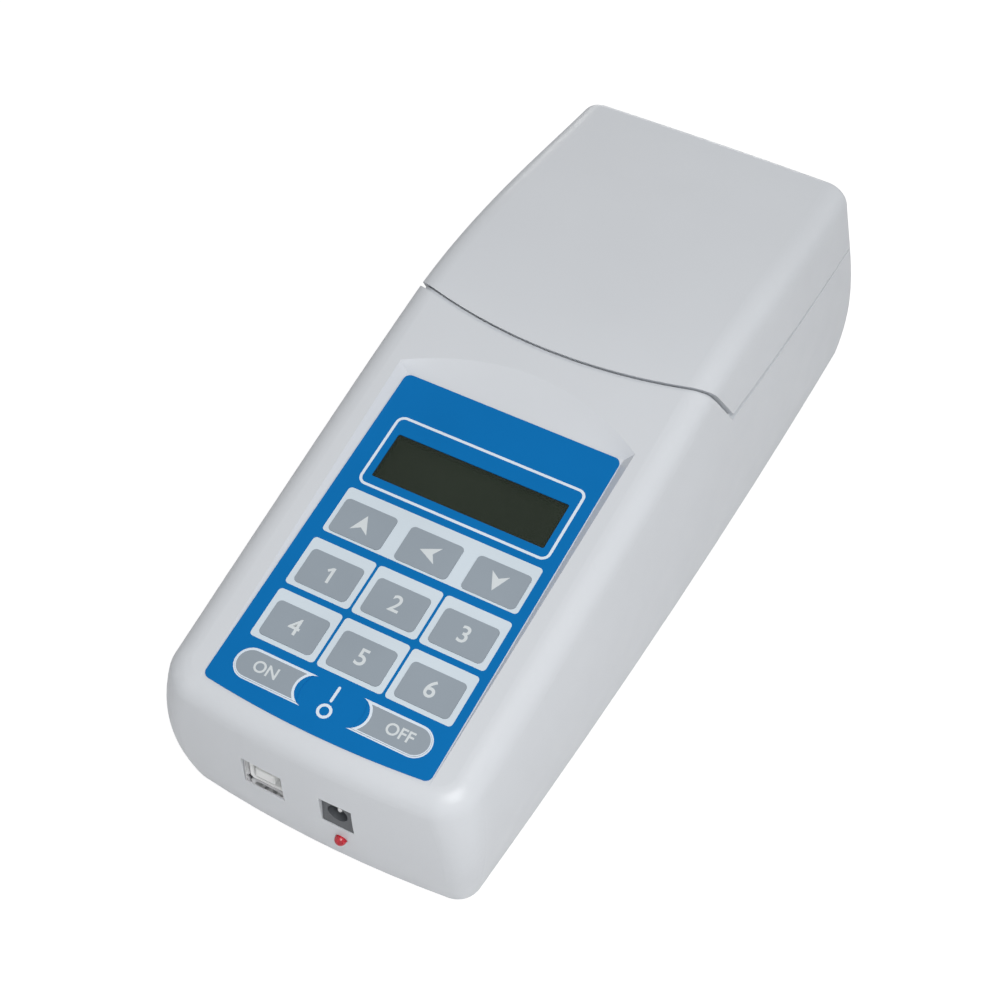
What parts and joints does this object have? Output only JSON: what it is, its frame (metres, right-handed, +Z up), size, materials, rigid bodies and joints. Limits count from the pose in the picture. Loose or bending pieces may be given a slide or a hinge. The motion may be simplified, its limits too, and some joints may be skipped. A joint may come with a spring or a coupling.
{
  "type": "beer colorimeter",
  "caption": "Bench colorimeter with a wedge-shaped housing, sloping keypad and display, and a hinged rear lid over the sample well.",
  "frame": {"origin": "centre of the overall box, on the plane that the feet stand on", "axes": "+Z up; -Y towards the user, where the keypad and the sockets are; +X to the user's right"},
  "size_m": [0.1018, 0.2562, 0.0822],
  "materials": {
    "housing_plastic": "fine moulded texture, satin",
    "lid_plastic": "fine moulded texture, satin",
    "black_plastic": "matt, moulded",
    "dark_plastic": "matt, moulded",
    "white_plastic": "moulded",
    "keypad_film": "printed film, fine texture",
    "key_grey": "printed film, fine texture",
    "spacer_film": "plain film",
    "window": "clear, smoked",
    "glass": "polished",
    "lcd": "display glass, switched off",
    "board": "green solder mask",
    "chip": "moulded",
    "black_metal": "blackened sheet",
    "spring_steel": "pressed",
    "plated_steel": "nickel plated",
    "screw_steel": "zinc plated",
    "cell_wrap": "shrink sleeve",
    "rubber": "matt",
    "foam": "closed-cell foam",
    "red_lens": "tinted lens"
  },
  "bodies": {
    "housing": {"base_plate": "housing_plastic", "base_screws": "screw_steel", "battery_cells": "cell_wrap", "battery_strap": "spring_steel", "board_chips": "chip", "cell_block": "black_plastic", "cell_screws": "screw_steel", "charge_lamp": "red_lens", "collimating_lens": "glass", "colour_filter": "glass", "dc_jack": "dark_plastic", "dc_pin": "plated_steel", "detector": "plated_steel", "detector_board": "board", "detector_sleeve": "black_plastic", "hinge_pin": "plated_steel", "io_board": "board", "io_screws": "screw_steel", "keypad_circuit": "spacer_film", "keypad_overlay": "keypad_film", "keypad_spacer": "spacer_film", "lamp_board": "board", "lamp_holder": "black_plastic", "lamp_led": "white_plastic", "lcd_bezel": "black_metal", "lcd_board": "board", "lcd_glass": "lcd", "lcd_screws": "screw_steel", "lcd_window": "window", "light_seal": "foam", "main_board": "board", "main_board_screws": "screw_steel", "main_housing": "housing_plastic", "optics_screws": "screw_steel", "rubber_feet": "rubber", "strap_screws": "screw_steel", "switch_domes": "spring_steel", "usb_core": "white_plastic", "usb_shell": "plated_steel", "well_ring": "dark_plastic"},
    "lid": {"lid": "lid_plastic", "light_shield": "black_plastic", "shield_screws": "screw_steel"},
    "key_1": {"key_1": "key_grey"},
    "key_2": {"key_2": "key_grey"},
    "key_3": {"key_3": "key_grey"},
    "key_4": {"key_4": "key_grey"},
    "key_5": {"key_5": "key_grey"},
    "key_6": {"key_6": "key_grey"},
    "key_down": {"key_down": "key_grey"},
    "key_left": {"key_left": "key_grey"},
    "key_off": {"key_off": "key_grey"},
    "key_on": {"key_on": "key_grey"},
    "key_up": {"key_up": "key_grey"}
  },
  "joints": [
    {"name": "lid_hinge", "type": "hinge", "parent": "housing", "child": "lid", "pos_m": [0, 0.1236, 0.0527], "axis": [-1, 0, 0], "range_deg": [0, 100]},
    {"name": "key_1_press", "type": "slide", "parent": "housing", "child": "key_1", "axis": [0, 0.1857, -0.9826], "range_m": [0, 0.0003], "stiffness_N_per_m": 800},
    {"name": "key_2_press", "type": "slide", "parent": "housing", "child": "key_2", "axis": [0, 0.1857, -0.9826], "range_m": [0, 0.0003], "stiffness_N_per_m": 800},
    {"name": "key_3_press", "type": "slide", "parent": "housing", "child": "key_3", "axis": [0, 0.1857, -0.9826], "range_m": [0, 0.0003], "stiffness_N_per_m": 800},
    {"name": "key_4_press", "type": "slide", "parent": "housing", "child": "key_4", "axis": [0, 0.1857, -0.9826], "range_m": [0, 0.0003], "stiffness_N_per_m": 800},
    {"name": "key_5_press", "type": "slide", "parent": "housing", "child": "key_5", "axis": [0, 0.1857, -0.9826], "range_m": [0, 0.0003], "stiffness_N_per_m": 800},
    {"name": "key_6_press", "type": "slide", "parent": "housing", "child": "key_6", "axis": [0, 0.1857, -0.9826], "range_m": [0, 0.0003], "stiffness_N_per_m": 800},
    {"name": "key_down_press", "type": "slide", "parent": "housing", "child": "key_down", "axis": [0, 0.1857, -0.9826], "range_m": [0, 0.0003], "stiffness_N_per_m": 800},
    {"name": "key_left_press", "type": "slide", "parent": "housing", "child": "key_left", "axis": [0, 0.1857, -0.9826], "range_m": [0, 0.0003], "stiffness_N_per_m": 800},
    {"name": "key_off_press", "type": "slide", "parent": "housing", "child": "key_off", "axis": [0, 0.1857, -0.9826], "range_m": [0, 0.0003], "stiffness_N_per_m": 800},
    {"name": "key_on_press", "type": "slide", "parent": "housing", "child": "key_on", "axis": [0, 0.1857, -0.9826], "range_m": [0, 0.0003], "stiffness_N_per_m": 800},
    {"name": "key_up_press", "type": "slide", "parent": "housing", "child": "key_up", "axis": [0, 0.1857, -0.9826], "range_m": [0, 0.0003], "stiffness_N_per_m": 800}
  ]
}
